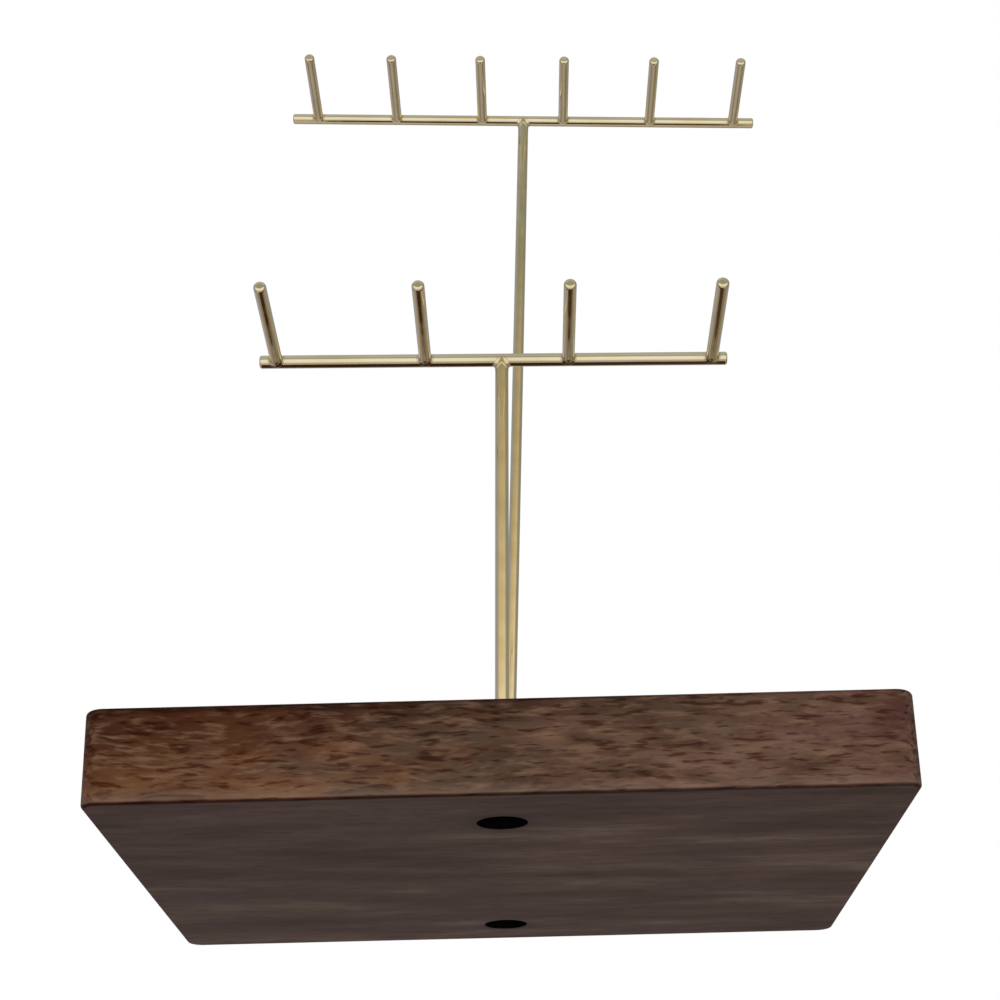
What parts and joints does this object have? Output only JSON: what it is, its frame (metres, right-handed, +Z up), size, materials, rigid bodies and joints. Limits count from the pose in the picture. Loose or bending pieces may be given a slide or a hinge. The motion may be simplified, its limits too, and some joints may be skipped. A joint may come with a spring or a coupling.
{
  "type": "jewelry stand",
  "caption": "Tiered jewellery stand: a low and a tall T-shaped stand of metal rod with forward pegs, each clamped by its stud and nut to a solid wooden base block.",
  "frame": {"origin": "middle of the block's underside, on the surface it rests on", "axes": "+X to the right seen from the front, +Y to the back, +Z up; the pegs point to -Y"},
  "size_m": [0.25, 0.2255, 0.369],
  "materials": {
    "wood": "oiled hardwood",
    "brass": "polished, lacquered",
    "zinc_steel": "bright zinc plated"
  },
  "bodies": {
    "base": {"base_block": "wood", "front_washer": "zinc_steel", "rear_washer": "zinc_steel"},
    "front_stand": {"front_post": "brass", "front_crossbar": "brass", "front_peg_1": "brass", "front_peg_2": "brass", "front_peg_3": "brass", "front_peg_4": "brass", "front_lock_washer": "zinc_steel", "front_nut": "zinc_steel"},
    "rear_stand": {"rear_post": "brass", "rear_crossbar": "brass", "rear_peg_1": "brass", "rear_peg_2": "brass", "rear_peg_3": "brass", "rear_peg_4": "brass", "rear_peg_5": "brass", "rear_peg_6": "brass", "rear_lock_washer": "zinc_steel", "rear_nut": "zinc_steel"}
  },
  "joints": [
    {"name": "front_swivel", "type": "hinge", "parent": "base", "child": "front_stand", "pos_m": [0.00065, -0.0725, 0.03], "axis": [0.0201, 0, 0.9998], "continuous": true},
    {"name": "rear_swivel", "type": "hinge", "parent": "base", "child": "rear_stand", "pos_m": [0.00025, 0.0785, 0.03], "axis": [0.0436, 0, 0.999], "continuous": true}
  ]
}
